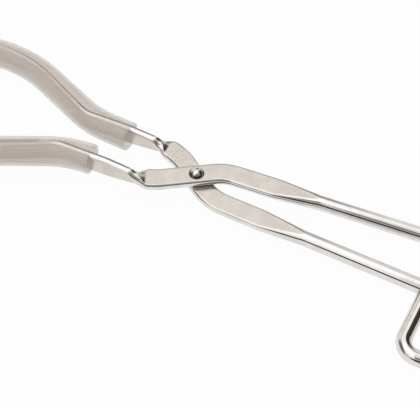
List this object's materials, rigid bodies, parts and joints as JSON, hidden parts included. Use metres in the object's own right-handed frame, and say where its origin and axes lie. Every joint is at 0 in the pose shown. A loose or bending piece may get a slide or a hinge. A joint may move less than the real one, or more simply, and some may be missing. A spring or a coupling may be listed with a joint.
{
  "type": "beaker tongs",
  "caption": "Crossed, riveted beaker tongs with finger loops and bowed jaws in soft tube sleeves, for gripping glass beakers.",
  "frame": {"origin": "bottom centre of the box round the tongs, as they lie with their plane level; the rivet's axis passes within 2 mm of it", "axes": "+X from the rivet to the finger loops, jaws towards -X; +Z square to the tongs' plane, towards the rivet's domed head; +Y to the side of the top arm's handle"},
  "size_m": [0.2626, 0.0702, 0.013],
  "materials": {
    "steel_bar": "polished round bar with satin pressed flats",
    "rivet": "bright polished dome",
    "sleeve": "translucent soft vinyl tube, warm grey"
  },
  "bodies": {
    "lower_half": {"bottom_arm": "steel_bar", "bottom_sleeve": "sleeve", "pivot_rivet": "rivet"},
    "upper_half": {"top_arm": "steel_bar", "top_sleeve": "sleeve"}
  },
  "joints": [
    {"name": "tongs_pivot", "type": "hinge", "parent": "lower_half", "child": "upper_half", "pos_m": [0.00128, 0, 0.0065], "axis": [0, 0, 1], "range_deg": [-2.5, 45]}
  ]
}
